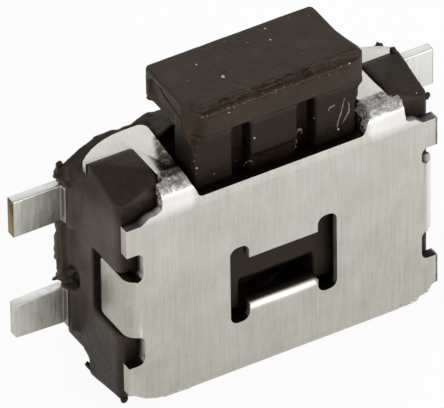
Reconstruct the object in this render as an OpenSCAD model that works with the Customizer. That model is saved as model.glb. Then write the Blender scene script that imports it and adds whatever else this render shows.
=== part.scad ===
// Side-push surface-mount tactile switch, standing upright with its push plate on top.
// X runs across the width, Y from the cover's front face back to the solder face, Z up.
// The origin is the centre of the underside; every length is in millimetres.
// Heights below count from the lower flange, which lies a little above the underside.

/* [Body] */

// width of the metal cover and of the housing's corner blocks
body_width = 4.70; // [4.4:0.05:5.0]
// height of the body, from the lower flange to the upper flange
body_height = 3.50; // [3.3:0.05:3.8]
// depth of the whole switch, front of the cover to the solder face
body_depth = 1.65; // [1.55:0.05:1.9]

/* [Cover] */

// thickness of the stainless sheet
sheet = 0.15; // [0.1:0.01:0.18]
// outer radius of the folds along the top, the bottom and the sides
fold_radius = 0.20; // [0.17:0.01:0.26]
// height of the side tabs
tab_height = 0.92; // [0.7:0.02:1.1]
// how far the side tabs reach back
tab_reach = 0.74; // [0.5:0.02:0.84]
// width of the gap in the upper flange where the push plate comes out
gap_width = 2.54; // [2.4:0.02:2.7]
// how far the upper flanges reach back
flange_reach = 1.41; // [1.3:0.01:1.44]
// width across the window in the front plate
window_width = 1.62; // [1.4:0.02:1.8]
// height of the two end slots of the window
slot_height = 1.25; // [1.0:0.05:1.4]
// height of the middle of the window
window_height = 0.79; // [0.6:0.02:0.9]

/* [Push plate] */

// width of the head
head_width = 2.54; // [2.3:0.02:2.7]
// height of the head's top face above the underside of the switch
head_top = 4.45; // [4.25:0.05:4.7]
// height of the head itself
head_height = 0.46; // [0.35:0.01:0.6]
// depth of the head, front to back
head_depth = 1.24; // [1.0:0.02:1.3]
// width of each slot in the front of the neck
neck_slot = 0.27; // [0.15:0.01:0.35]
// travel of the push plate
travel = 0.20; // [0.1:0.01:0.3]

/* [Contacts] */

// width over the tips of the terminals
span = 6.40; // [6.1:0.05:6.8]
// distance between the upper and the lower terminals
pitch = 1.70; // [1.6:0.05:1.8]
// height of each terminal
terminal_height = 0.58; // [0.4:0.01:0.6]
// thickness of the contact strips
strip = 0.15; // [0.1:0.01:0.16]
// forward step of a strip where it leaves the housing
joggle = 0.09; // [0.05:0.01:0.1]
// radius of the snap dome
dome_radius = 1.05; // [0.9:0.01:1.1]
// rise of the snap dome
dome_rise = 0.20; // [0.15:0.01:0.24]

/* [Hidden] */

$fn = 48;
tiny = 0.02;
past = 1;                          // how far a cut runs past the piece
air = 0.01;                        // gap between pieces that rest on each other
slide_air = 0.04;                  // gap on each side of the sliding push plate
half = body_width / 2;
mid_z = body_height / 2;

// cover
inner_fold = fold_radius - sheet;
block_in = half - 0.66;            // inner face of the housing's corner blocks
block_back = body_depth - 0.65;    // rear face of the corner blocks
flange_end = block_in - 0.02;      // edge of a flange beside a corner block
notch_x = half - 0.56;             // edge of the front plate under a corner block
fold_end = notch_x - 0.01;         // end of the lower fold
seg_top = body_height - 0.43;      // top of the plate's corner segments
seg_low = 0.34;                    // bottom of the plate's corner segments
relief_x = half - 0.24;            // root of the relief notches beside the tabs
relief_height = 0.46;
root_radius = 0.10;
flange_radius = 0.12;
tab_mid = mid_z - 0.04;
tab_low = tab_mid - tab_height / 2;
tab_high = tab_mid + tab_height / 2;
tab_x = half - 0.02;
gap_floor = body_height - 0.30;    // edge of the plate in front of the push plate's neck
window_low = 1.12;                 // lower edge of the middle of the window
window_z = window_low + window_height / 2;
slot_width = 0.29;                 // width of each end slot of the window
tongue_half = window_width / 2 - slot_width - air;
tongue_sheet = sheet * 0.8;        // the sheet thins where the tongue folds
tongue_fold = 0.14;
tongue_length = 0.55;
ramp_angle = 45;

// housing
house_x = half + 0.01;             // side faces of the housing
house_front = sheet + 0.06;        // front face of the housing
house_back = body_depth - 0.02;    // rear face, just short of the solder face
house_top = body_height - sheet - air;
house_low = sheet + air;
underside = 0.05;                  // corner blocks reach this far below the lower flange
slope_front = 16.7;                // the blocks' tops slope down towards the front
slope_side = 14.7;                 // and towards the side
block_top = body_height + 0.04;
base_top = body_height - 0.34;     // rear part's side face, top end
base_low = 0.33;                   // rear part's side face, bottom end
rear_rim_top = body_height - 0.10;
hump_x = head_width / 2 - 0.07;    // half width of the hump behind the push plate
hump_top = body_height - 0.04;
lip_front = body_depth - 0.12;     // front of the thin lip at the rear
lip_out = half + 0.15;             // how far the lip stands out at the sides

// push plate
head_front = sheet;
head_back = head_front + head_depth;
head_low = head_top - head_height;
head_half = head_width / 2;
head_corner = 0.15;
lip_depth = 0.11;                  // strip along the front of the head
lip_top = head_top - 0.10;
neck_half = gap_width / 2 - slide_air;
neck_front = sheet + 0.06;
slot_at = 0.49;                    // middle of each slot in the neck
panel_low = body_height - 0.14;    // lower edge of the panel between the slots
channel = neck_half + slide_air;
shoulder = body_height - 0.38;     // underside of the housing's top walls
ear_half = neck_half + 0.27;
ear_room = ear_half + slide_air;
ear_top = shoulder - 0.03;
ear_low = ear_top - 0.54;
foot = 0.95;                       // lower end of the push plate's legs at rest
foot_half = tongue_half - air;
leg_in = tongue_half + 0.05;       // inner sides of the legs beside the tongue
foot_front_low = window_low + 0.30; // where the foot's slanted face starts

// contacts, dome and film, counted forward from the solder face
row_high = mid_z + pitch / 2;
row_low = mid_z - pitch / 2;
strip_back = body_depth - joggle;  // rear face of the strips inside the housing
strip_front = strip_back - strip;
step_x = half + 0.12;              // where a strip steps back outside the housing
step_run = 0.01;
root_out = step_x - 0.01;          // end of the plastic round the root of a terminal
root_air = 0.02;
pad_rise = 0.05;                   // contact pads stand this far above the strips
floor_y = strip_front - pad_rise;  // floor under the dome
ledge_y = floor_y - 0.06;          // ledge that carries the film
dome_z = 1.55;
dome_sheet = 0.05;
film = 0.03;
film_radius = dome_radius + 0.14;
recess_low = dome_z - film_radius - tiny;
film_front = floor_y - dome_rise - air - film;
boss_front = film_front - slide_air;
foot_back = boss_front - 0.08;
foot_mid = foot_back - 0.40;
plate_back = foot_mid + 0.05;
cavity_back = ledge_y - 0.20;
neck_back = plate_back + 0.03;
mouth_back = cavity_back + 0.13;   // rear of the shaft's open mouth
mouth_top = shoulder + 0.06;

// ---- helpers ----

// outline in X and Z, given thickness from y0 to y1
module xz(y0, y1) {
    translate([0, y1, 0]) rotate([90, 0, 0]) linear_extrude(y1 - y0) children();
}

// outline in Y and Z, given width from x0 to x1
module yz(x0, x1) {
    translate([x0, 0, 0]) rotate([90, 0, 90]) linear_extrude(x1 - x0) children();
}

// outline in X and Y, given height from z0 to z1
module xy(z0, z1) {
    translate([0, 0, z0]) linear_extrude(z1 - z0) children();
}

module rect(x0, y0, x1, y1) {
    translate([x0, y0]) square([x1 - x0, y1 - y0]);
}

module rrect(x0, y0, x1, y1, r) {
    rect(x0 + r, y0, x1 - r, y1);
    rect(x0, y0 + r, x1, y1 - r);
    for (u = [x0 + r, x1 - r]) for (v = [y0 + r, y1 - r]) translate([u, v]) circle(r);
}

module both() {
    children();
    mirror([1, 0, 0]) children();
}

// material that fills an inside corner at (x, y) towards (sx, sy) with radius r
module fillet(x, y, sx, sy, r) {
    difference() {
        rect(min(x, x + sx * r), min(y, y + sy * r), max(x, x + sx * r), max(y, y + sy * r));
        translate([x + sx * r, y + sy * r]) circle(r);
    }
}

// disc about the dome's axis, from y0 to y1
module disc(r, y0, y1) {
    translate([0, y1, dome_z]) rotate([90, 0, 0]) cylinder(r = r, h = y1 - y0);
}

module box(x0, x1, y0, y1, z0, z1) {
    translate([x0, y0, z0]) cube([x1 - x0, y1 - y0, z1 - z0]);
}

// the origin sits halfway between the cover and the solder face
module placed() {
    translate([0, -body_depth / 2, underside]) children();
}

// ---- housing ----

// rear part of the housing seen from the front
module base_outline() {
    polygon([[-fold_end, house_low], [fold_end, house_low], [house_x - 0.26, 0.18],
             [house_x, base_low], [house_x, base_top], [house_x - 0.24, base_top + 0.14],
             [house_x - 0.46, rear_rim_top], [hump_x + 0.14, rear_rim_top - 0.02],
             [hump_x, hump_top], [-hump_x, hump_top],
             [-hump_x - 0.14, rear_rim_top - 0.02], [0.46 - house_x, rear_rim_top],
             [0.24 - house_x, base_top + 0.14], [-house_x, base_top], [-house_x, base_low],
             [0.26 - house_x, 0.18]]);
}

// side wall with its two corner blocks, seen from the side
module wall_outline() {
    f = house_front;
    b = block_back;
    u = underside;
    polygon([[f, 0.12], [f + 0.04, -u], [b + 0.06, -u],
             [b + 0.09, 0.10 - u], [b + 0.07, base_low - 0.12], [b + 0.12, base_low - 0.07],
             [b + 0.20, base_low - 0.03], [b + 0.20, base_top + 0.04], [b, base_top + 0.14],
             [b, block_top - 0.02], [b - 0.03, block_top], [f + 0.30, block_top],
             [f + 0.16, block_top - 0.05], [f + 0.06, block_top - 0.12],
             [f, block_top - 0.21]]);
}

// thin lip between the terminals at the rear, and its stub above the upper one
module lip_outline() {
    low = row_low + terminal_height / 2 + 0.09;
    high = row_high - terminal_height / 2 - 0.03;
    x = lip_out;
    polygon([[x - 0.30, low], [x + 0.02, low], [x + 0.05, low + 0.06], [x - 0.01, low + 0.17],
             [x, low + 0.47], [x + 0.01, high - 0.20], [x + 0.04, high - 0.06],
             [x + 0.02, high - 0.01], [x - 0.30, high]]);
    top = row_high + terminal_height / 2 + 0.05;
    polygon([[x - 0.40, top], [x, top + 0.02], [x + 0.04, top + 0.10], [x, base_top - 0.04],
             [x - 0.15, base_top], [x - 0.40, base_top]]);
}

module housing_solid() {
    xz(block_back + tiny, house_back) base_outline();
    both() yz(block_in, house_x) wall_outline();
    // middle of the front, under the flanges
    box(-block_in - tiny, block_in + tiny, house_front, block_back + 2 * tiny,
        house_low, house_top);
    // top and bottom under the rear of the flanges
    box(-fold_end, fold_end, block_back - 0.1, flange_reach + air, house_low, house_top);
    both() xz(lip_front, house_back) lip_outline();
    // plastic round the roots of the terminals
    r = terminal_height / 2 + 0.05;
    both() for (z = [row_low, row_high]) xy(z - r, z + r)
        polygon([[half - 0.2, strip_front - 0.19], [house_x - tiny, strip_front - 0.19],
                 [root_out, strip_front - 0.08], [root_out, house_back],
                 [half - 0.2, house_back]]);
}

// mouth of the shaft seen from above, its rear corners cut off
module mouth_outline() {
    c = channel;
    polygon([[-c, 0], [c, 0], [c, mouth_back - 0.17], [c - 0.09, mouth_back - 0.12],
             [c - 0.33, mouth_back], [0.33 - c, mouth_back], [0.09 - c, mouth_back - 0.12],
             [-c, mouth_back - 0.17]]);
}

module housing_cuts() {
    over = head_top;
    // room for the flanges behind the corner blocks
    both() box(gap_width / 2 - 0.04, half + past, block_back + air, flange_reach + tiny,
               house_top, over);
    // shaft for the neck and the lower part of the push plate
    box(-channel, channel, 0, cavity_back, recess_low, over);
    xy(mouth_top, over) mouth_outline();
    // room for the ears, closed above by the shoulders
    box(-ear_room, ear_room, 0, plate_back + 0.15 + slide_air, ear_low - travel - 0.3,
        shoulder);
    // round recess for the film and the dome
    disc(film_radius + tiny, cavity_back - tiny, ledge_y);
    disc(dome_radius + tiny, ledge_y - tiny, floor_y);
    both() {
        // pockets for the side tabs of the cover and for their folds
        box(tab_x - sheet - 0.03, half + past, 0, tab_reach + 0.21, tab_low - 0.08,
            tab_high + 0.03);
        box(relief_x + tiny, half + past, 0, tab_x - relief_x + sheet, tab_low - 0.08,
            tab_high + 0.03);
        // pocket above the root of the lower terminal
        box(house_x - 0.14, half + past, strip_front - 0.12, lip_front,
            row_low + terminal_height / 2 + 0.07, row_low + terminal_height / 2 + 0.32);
        // sloping tops of the corner blocks
        translate([house_x, block_back, block_top - 0.01]) rotate([slope_front, slope_side, 0])
            translate([-body_width / 2, -body_depth * 0.8, 0])
            cube([body_width, body_depth * 0.8 + 0.4, past]);
        // front edges of the corner blocks
        xy(-past, over) polygon([[house_x - 0.06, 0], [half + past, 0],
            [half + past, house_front + 0.09], [house_x, house_front + 0.09],
            [house_x - 0.06, house_front]]);
        // groove in front of the rear lip
        box(house_x - 0.05, half + past, lip_front - 0.08, lip_front, row_low, row_high);
        // mark of an ejector pin in the rear face
        translate([half - 0.90, house_back + tiny, mid_z]) rotate([90, 0, 0])
            cylinder(d = 0.5, h = 0.05);
    }
}

module housing() {
    color("#2b2622") placed() difference() {
        housing_solid();
        housing_cuts();
        strip_room(row_low);
        strip_room(row_high);
        centre_inner();
        outer_inner();
    }
}

// ---- cover ----

module window_outline() {
    both() rrect(window_width / 2 - slot_width, window_z - slot_height / 2,
                 window_width / 2, window_z + slot_height / 2, flange_radius);
    rect(-tongue_half - tiny, window_low, tongue_half + tiny, window_low + window_height);
}

module plate_half() {
    n = notch_x;
    polygon([[0, fold_radius], [fold_end, fold_radius], [fold_end, 0.12],
             [half - 0.40, 0.15], [half - 0.23, 0.21], [half - 0.07, 0.32],
             [half, seg_low], [half, seg_top], [half - 0.22, seg_top],
             [half - 0.35, seg_top + 0.08], [n + 0.10, seg_top + 0.09],
             [n + 0.02, gap_floor], [n, body_height - fold_radius],
             [0, body_height - fold_radius]]);
}

module plate_outline() {
    difference() {
        both() plate_half();
        // gap for the neck
        rrect(-gap_width / 2, gap_floor, gap_width / 2, body_height + past, 0.08);
        both() {
            // reliefs above and below each side tab
            rrect(relief_x, tab_high, half + past, tab_high + relief_height, root_radius);
            rrect(relief_x, tab_low - relief_height, half + past, tab_low, root_radius);
            // the rest beside the tabs belongs to the folds
            rect(tab_x - fold_radius, tab_low, half + past, tab_high);
        }
        window_outline();
    }
}

// quarter fold seen from its end, outer corner at the origin
module fold() {
    intersection() {
        translate([fold_radius, -fold_radius]) difference() {
            circle(fold_radius);
            circle(inner_fold);
        }
        rect(0, -fold_radius, fold_radius, 0);
    }
}

// upper flange, seen from above
module flange_outline() {
    r = flange_radius;
    x0 = gap_width / 2;
    x1 = half - 0.75;
    sweep = 1.1;
    difference() {
        intersection() {
            union() {
                rect(x0, fold_radius, half - 0.4, flange_reach - r);
                rect(x0 + r, fold_radius, half + air, flange_reach);
                translate([x0 + r, flange_reach - r]) circle(r);
            }
            union() {
                rect(0, 0, x1, flange_reach);
                translate([x1, flange_reach - sweep]) circle(sweep, $fn = 96);
            }
        }
        rrect(flange_end, fold_radius, half + past, block_back + 0.03, 0.06);
        rect(notch_x, -past, half + past, fold_radius + 0.1);
    }
}

// tongue of the window, folded inwards and down into a ramp for the push plate's foot
module tongue() {
    r = tongue_fold;
    inner = r - tongue_sheet;
    z = window_low;
    yz(-tongue_half, tongue_half) translate([r, z - r]) {
        intersection() {
            difference() {
                circle(r);
                circle(inner);
            }
            polygon([[0, 0], [-1, 0], [-1, 1], [1, 1]]);
        }
        rotate(-ramp_angle) rect(0, inner, tongue_length, r);
    }
    // the plate runs up into the tongue's fold
    box(-tongue_half, tongue_half, 0, tongue_sheet, z - r - 0.02, z - r);
}

module cover() {
    color("#b9b6ac") placed() {
        difference() {
            xz(0, sheet) plate_outline();
            // space of the tongue's fold
            box(-tongue_half, tongue_half, -past, past, window_low - tongue_fold, window_z);
        }
        tongue();
        // upper folds and flanges
        both() {
            yz(gap_width / 2, notch_x) translate([0, body_height]) fold();
            xy(body_height - sheet, body_height) flange_outline();
        }
        // lower fold and flange
        yz(-fold_end, fold_end) mirror([0, 1]) fold();
        xy(0, sheet)
            rrect(-flange_end, fold_radius - 0.08, flange_end, flange_reach - 0.11, 0.06);
        // side tabs
        both() translate([tab_x, 0, 0]) {
            xy(tab_low, tab_high) side_fold();
            yz(-sheet, 0) rrect(fold_radius - 0.06, tab_low, tab_reach, tab_high, 0.06);
        }
    }
}

// fold between the front plate and a side tab, seen from above, outer corner at the origin
module side_fold() {
    intersection() {
        translate([-fold_radius, fold_radius]) difference() {
            circle(fold_radius);
            circle(inner_fold);
        }
        rect(-fold_radius, 0, 0, fold_radius);
    }
}

// ---- push plate ----

module head_outline() {
    c = head_corner;
    h = head_half;
    r = 0.05;
    polygon([[c - h, head_front], [h - c, head_front], [h, head_front + c - 0.01],
             [h, head_back - r], [h - r, head_back], [r - h, head_back],
             [-h, head_back - r], [-h, head_front + c - 0.01]]);
}

// foot behind the window, slanted like the ramp below it, seen from the side
module foot_outline() {
    low = foot_front_low - foot_mid + neck_front;
    polygon([[neck_front, foot_front_low], [foot_mid, low], [foot_back - 0.06, low],
             [foot_back, low + 0.06], [foot_back, dome_z + 0.50],
             [plate_back, dome_z + 0.75], [neck_front, dome_z + 0.75]]);
}

module push_plate_cuts() {
    // the front strip of the head is lower than the top face
    box(-half, half, -past, head_front + lip_depth, lip_top, head_top + past);
    // slots in the front of the neck
    both() box(slot_at - neck_slot / 2, slot_at + neck_slot / 2, 0, neck_front + 0.22,
               ear_low, head_low - 0.05);
    // the neck steps back below the middle panel
    box(neck_slot / 2 - slot_at, slot_at - neck_slot / 2, 0, neck_front + 0.05,
        gap_floor - 0.2, panel_low);
    // room for the cover's tongue on both sides of the foot
    both() box(foot_half, leg_in, 0, body_depth, 0, foot_front_low);
    // sunken patch in each end of the head
    both() yz(head_half - 0.06, half) polygon([
        [head_front + 0.42, head_top - 0.15], [head_front + 0.52, head_top - 0.10],
        [head_back - 0.20, head_top - 0.09], [head_back - 0.12, head_top - 0.16],
        [head_back - 0.13, head_low + 0.14], [head_back - 0.22, head_low - 0.1],
        [head_front + 0.50, head_low - 0.1]]);
}

module push_plate() {
    color("#2f2a26") placed() difference() {
        union() {
            xy(head_low, head_top) head_outline();
            // neck and guided plate with its two legs
            xz(neck_front, neck_back) rect(-neck_half, ear_low - 0.15, neck_half,
                                           head_low + tiny);
            xz(neck_front, plate_back) difference() {
                rrect(-neck_half, foot, neck_half, ear_low, 0.08);
                rect(-leg_in, 0, leg_in, foot_front_low);
            }
            // ears held under the shoulders
            xz(neck_front + 0.05, plate_back + 0.11)
                rrect(-ear_half, ear_low, ear_half, ear_top, 0.06);
            yz(-foot_half, foot_half) foot_outline();
            // boss in front of the dome's centre
            disc(0.30, foot_back - tiny, boss_front);
        }
        push_plate_cuts();
    }
}

// ---- snap dome and film ----

module dome_shell(r, rise, t, y) {
    big = (r * r + rise * rise) / (2 * rise);
    // rim of radius r at height y, bulging towards the front
    intersection() {
        translate([0, y + big - rise, dome_z]) difference() {
            sphere(big, $fn = 180);
            sphere(big - t, $fn = 180);
        }
        disc(r, y - rise - 0.1, y);
    }
}

module snap_dome() {
    color("#c9c7c0") placed() dome_shell(dome_radius, dome_rise, dome_sheet, floor_y);
}

module dome_film() {
    a = film_front + film;
    r = film_radius;
    rim = ledge_y - film;
    color("#8a6a3c") placed() translate([0, 0, dome_z]) rotate([-90, 0, 0])
        rotate_extrude($fn = 96)
        polygon([[0, a - film], [r * 0.30, a - film + 0.02], [r * 0.52, a - film + 0.065],
                 [r - 0.23, rim - 0.035], [r - 0.13, rim], [r, rim], [r, ledge_y],
                 [r - 0.14, ledge_y], [r - 0.23, ledge_y - 0.035], [r * 0.52, a + 0.065],
                 [r * 0.30, a + 0.02], [0, a]]);
}

// ---- contacts ----

// terminal end of a strip: straight inside, then stepped back to the solder face
module strip_outline() {
    x = step_x;
    polygon([[0, strip_front], [x, strip_front], [x + step_run, body_depth - strip],
             [span / 2, body_depth - strip], [span / 2, body_depth],
             [x - step_run, body_depth], [x - 2 * step_run, strip_back], [0, strip_back]]);
}

module legs(z) {
    both() xy(z - terminal_height / 2, z + terminal_height / 2) strip_outline();
}

// space that a strip takes in the housing, up to the rear face
module strip_room(z) {
    h = terminal_height / 2;
    legs(z);
    both() box(step_x - 3 * step_run, span, strip_front, body_depth + past, z - h, z + h);
}

module centre_inner() {
    box(-0.32, 0.32, strip_front, strip_back, row_low, dome_z + 0.32);
    disc(0.28, floor_y - air, strip_back);
}

module centre_contact() {
    color("#c8c2b2") placed() {
        legs(row_low);
        centre_inner();
    }
}

module outer_inner() {
    r = dome_radius;
    both() {
        box(r - 0.43, r + 0.07, strip_front, strip_back, dome_z - 0.22, row_high);
        translate([r - 0.11, floor_y, dome_z]) rotate([-90, 0, 0])
            cylinder(r = 0.14, h = pad_rise * 2);
    }
}

module outer_contact() {
    color("#c8c2b2") placed() {
        legs(row_high);
        outer_inner();
    }
}

housing();
cover();
push_plate();
snap_dome();
dome_film();
centre_contact();
outer_contact();
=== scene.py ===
"""Looks of a side-push surface-mount tactile switch, worked out in millimetres and kept in metres."""
import math

import bmesh
import bpy
import numpy as np
from mathutils import Matrix, Vector
from mathutils.bvhtree import BVHTree


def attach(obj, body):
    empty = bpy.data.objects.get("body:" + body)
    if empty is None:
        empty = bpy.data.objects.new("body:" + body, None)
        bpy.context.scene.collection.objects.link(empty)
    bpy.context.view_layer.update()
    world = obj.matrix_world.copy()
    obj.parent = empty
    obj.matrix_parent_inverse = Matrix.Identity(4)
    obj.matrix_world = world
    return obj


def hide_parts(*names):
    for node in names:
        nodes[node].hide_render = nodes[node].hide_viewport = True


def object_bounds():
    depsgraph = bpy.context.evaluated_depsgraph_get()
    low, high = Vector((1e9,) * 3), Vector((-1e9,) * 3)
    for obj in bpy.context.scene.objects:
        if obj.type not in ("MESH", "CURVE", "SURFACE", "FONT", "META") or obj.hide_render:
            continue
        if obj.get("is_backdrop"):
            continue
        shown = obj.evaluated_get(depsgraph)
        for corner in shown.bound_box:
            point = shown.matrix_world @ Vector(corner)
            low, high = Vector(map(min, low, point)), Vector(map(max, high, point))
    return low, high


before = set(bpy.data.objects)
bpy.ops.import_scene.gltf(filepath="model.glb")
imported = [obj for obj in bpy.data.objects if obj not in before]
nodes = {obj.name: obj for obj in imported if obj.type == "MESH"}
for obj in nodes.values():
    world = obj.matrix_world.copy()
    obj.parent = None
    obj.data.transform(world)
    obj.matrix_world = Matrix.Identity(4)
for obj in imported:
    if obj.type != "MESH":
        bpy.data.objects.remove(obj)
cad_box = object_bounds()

MM = 0.001
PER_M = 1 / MM
HALF_DEPTH = 0.825
UNDERSIDE = 0.05
scene = bpy.context.scene

# ---- camera ----

IMAGE_WIDTH = 444
IMAGE_HEIGHT = 408
PIXELS_PER_MM = 76.25
AZIMUTH = math.radians(-29.85)
ELEVATION = math.radians(38.05)
ROLL = math.radians(-0.86)
DISTANCE = 150.0
TARGET = Vector((0.0, -0.025, 2.0 + UNDERSIDE))
TARGET_PIXEL = (252.5, 206.9)
SENSOR = 36.0
BACK = Vector((math.sin(AZIMUTH) * math.cos(ELEVATION),
               -math.cos(AZIMUTH) * math.cos(ELEVATION),
               math.sin(ELEVATION)))
# Small pieces are slid this far at most, in mm, along the line of sight to find their carrier.
SLIDE = 0.6
SLANT = BACK * SLIDE


def make_camera():
    """A long lens, moved sideways so that the target falls on its own pixel."""
    level = Vector((math.cos(AZIMUTH), math.sin(AZIMUTH), 0.0))
    steep = BACK.cross(level)
    right = level * math.cos(ROLL) + steep * math.sin(ROLL)
    up = steep * math.cos(ROLL) - level * math.sin(ROLL)
    aside = (IMAGE_WIDTH / 2 - TARGET_PIXEL[0]) / PIXELS_PER_MM
    lift = (TARGET_PIXEL[1] - IMAGE_HEIGHT / 2) / PIXELS_PER_MM
    place = TARGET + BACK * DISTANCE + right * aside + up * lift
    data = bpy.data.cameras.new("camera")
    data.sensor_width = SENSOR
    data.lens = SENSOR * DISTANCE / (IMAGE_WIDTH / PIXELS_PER_MM)
    data.clip_start = 10 * MM
    data.clip_end = 5000 * MM
    camera = bpy.data.objects.new("camera", data)
    turn = Matrix((right, up, BACK)).transposed()
    camera.matrix_world = Matrix.Translation(place * MM) @ turn.to_4x4()
    scene.collection.objects.link(camera)
    scene.camera = camera


make_camera()
scene.view_settings.view_transform = "Standard"

# ---- materials ----


def linear(code):
    """A hex sRGB colour as linear red, green, blue and alpha."""
    parts = np.array([int(code[i:i + 2], 16) / 255 for i in (1, 3, 5)])
    low = parts / 12.92
    high = ((parts + 0.055) / 1.055) ** 2.4
    return (*np.where(parts <= 0.04045, low, high).tolist(), 1.0)


def add(tree, kind, settings=None, links=None):
    """Adds one node: settings name its properties, sockets or ramp stops, links feed its sockets."""
    node = tree.nodes.new(kind)
    for key, value in (settings or {}).items():
        if key == "stops":
            marks = node.color_ramp.elements
            for place, code in value[1:-1]:
                marks.new(place)
            for mark, (place, code) in zip(marks, value):
                mark.position = place
                mark.color = linear(code)
        elif isinstance(key, str) and hasattr(node, key):
            setattr(node, key, value)
        else:
            node.inputs[key].default_value = value
    for key, source in (links or {}).items():
        if isinstance(source, bpy.types.Node):
            source = next(out for out in source.outputs if out.enabled)
        tree.links.new(source, node.inputs[key])
    return node


def new_material(name, **settings):
    """A material with its shader; settings go to the shader's own sockets."""
    material = bpy.data.materials.new(name)
    material.use_nodes = True
    shader = material.node_tree.nodes["Principled BSDF"]
    for key, value in settings.items():
        shader.inputs[key.replace("_", " ")].default_value = value
    return material, material.node_tree, shader


def wire(tree, shader, links):
    """Joins the outputs of finished nodes to the shader's sockets."""
    for key, source in links.items():
        output = next(out for out in source.outputs if out.enabled)
        tree.links.new(output, shader.inputs[key])


def ramps(tree, axes, rows):
    """The product of one ramp for each row: axis, where it is 0 and where it is 1, in mm."""
    total = None
    for axis, empty, full in rows:
        ramp = add(tree, RANGE, {"interpolation_type": "SMOOTHSTEP", "From Min": empty * MM,
                                 "From Max": full * MM}, {"Value": axes.outputs[axis]})
        if total:
            ramp = add(tree, MATH, {"operation": "MULTIPLY"}, {0: total, 1: ramp})
        total = ramp
    return total


NOISE = "ShaderNodeTexNoise"
RANGE = "ShaderNodeMapRange"
MATH = "ShaderNodeMath"
RAMP = "ShaderNodeValToRGB"
MIX = "ShaderNodeMix"
CRINKLE_HEIGHT = 22.0
ABOVE_FOLD = ("Z", 3.28, 3.36)
OUTER_SIDE = ("X", -2.30, -2.34)

# Rolled stainless strip, pressed and folded: a fine grain runs up the front and catches the
# light in hairlines, and broad soft clouds show where the strip was rolled. Just behind the
# upper folds the sheet is stretched and crinkled. Cut edges are half bright and half torn.
steel, tree, shader = new_material("stainless steel, rolled and folded", Metallic=1.0)
place = add(tree, "ShaderNodeTexCoord").outputs["Object"]
axes = add(tree, "ShaderNodeSeparateXYZ", {}, {"Vector": place})
stretched = add(tree, "ShaderNodeMapping", {"Scale": (1.0, 0.25, 0.05)}, {"Vector": place})
grain = add(tree, NOISE, {"Scale": PER_M / 0.028, "Detail": 4.0, "Roughness": 0.62},
            {"Vector": stretched})
cloud = add(tree, NOISE, {"Scale": PER_M / 0.6, "Detail": 5.0, "Roughness": 0.6},
            {"Vector": place})
mottle = add(tree, NOISE, {"Scale": PER_M / 0.09, "Detail": 3.0, "Roughness": 0.6},
             {"Vector": place})
crinkle = add(tree, NOISE, {"Scale": PER_M / 0.11, "Detail": 5.0, "Roughness": 0.7,
                            "Distortion": 1.2}, {"Vector": place})
above = ramps(tree, axes, [ABOVE_FOLD])
zone = ramps(tree, axes, [ABOVE_FOLD, ("Y", -0.79, -0.74), ("Y", -0.42, -0.54)])
cut = add(tree, "ShaderNodeAttribute", {"attribute_name": "cut"}).outputs["Fac"]
blend = add(tree, MATH, {"operation": "ADD"}, {0: grain, 1: cloud})
blend = add(tree, MATH, {"operation": "MULTIPLY_ADD", 1: 0.35, 2: -0.03}, {0: mottle, 2: blend})
# Painted reflection: rise makes the sheet paler towards the top and darker towards the bottom, where
# the floor that it mirrors lies in the switch's shade.
rise = add(tree, RANGE, {"From Min": 0.4 * MM, "From Max": 3.2 * MM, "To Min": 0.0, "To Max": 0.5},
           {"Value": axes.outputs["Z"]})
blend = add(tree, MATH, {"operation": "ADD"}, {0: rise, 1: blend})
base = add(tree, RAMP, {"stops": [(0.30, "#aba79d"), (0.55, "#c3c0b7"), (0.8, "#d6d3cc")]},
           {"Fac": add(tree, MATH, {"operation": "MULTIPLY", 1: 0.42}, {0: blend})})
torn = add(tree, RAMP, {"stops": [(0.35, "#4d463d"), (0.65, "#98928a")]}, {"Fac": mottle})
rear_half = ramps(tree, axes, [("Y", -0.745, -0.715)])
dull = add(tree, MATH, {"operation": "MULTIPLY"}, {0: cut, 1: rear_half})
skin = add(tree, MIX, {"data_type": "RGBA"}, {0: dull, 6: base, 7: torn})
# Cut edges that face up are painted dark brown as a painted reflection of the dark moulding, and those
# at the left side that face the lamp get a painted highlight.
facing = add(tree, "ShaderNodeSeparateXYZ", {},
             {"Vector": add(tree, "ShaderNodeTexCoord").outputs["Normal"]})
upward = add(tree, RANGE, {"From Min": 0.3, "From Max": 0.7}, {"Value": facing.outputs["Z"]})
upward = add(tree, MATH, {"operation": "MULTIPLY"}, {0: upward, 1: cut})
skin = add(tree, MIX, {"data_type": "RGBA", 7: linear("#2a231d")}, {0: upward, 6: skin})
# Painted highlight: cut edges at the left that face the lamp are made pale.
left_cut_highlight = add(tree, RANGE, {"From Min": -0.5, "From Max": -0.9}, {"Value": facing.outputs["X"]})
left_cut_highlight = add(tree, MATH, {"operation": "MULTIPLY"}, {0: left_cut_highlight, 1: cut})
worn = ramps(tree, axes, [("X", -2.2, -2.3), ("Y", -0.81, -0.79)])
left_cut_highlight = add(tree, MATH, {"operation": "MULTIPLY"}, {0: left_cut_highlight, 1: worn})
skin = add(tree, MIX, {"data_type": "RGBA", 7: linear("#bcb7ad")}, {0: left_cut_highlight, 6: skin})
# Edges round the window and the notch stand against the dark moulding: a painted reflection of it
# darkens them brown.
inner = ramps(tree, axes, [("X", -1.5, -1.4), ("X", 1.5, 1.4), ("Z", 0.7, 0.8)])
inner = add(tree, MATH, {"operation": "MULTIPLY"}, {0: inner, 1: dull})
skin = add(tree, MIX, {"data_type": "RGBA", 7: linear("#1f1914")}, {0: inner, 6: skin})
# Painted shade darkens the upper part of the tongue's fold inside the window.
bend = ramps(tree, axes, [("X", -0.75, -0.7), ("X", 0.75, 0.7), ("Z", 1.0, 1.1), ("Z", 2.0, 1.9),
                          ("Y", -0.775, -0.735)])
skin = add(tree, MIX, {"data_type": "RGBA", 7: linear("#4a423a")}, {0: bend, 6: skin})
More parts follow.
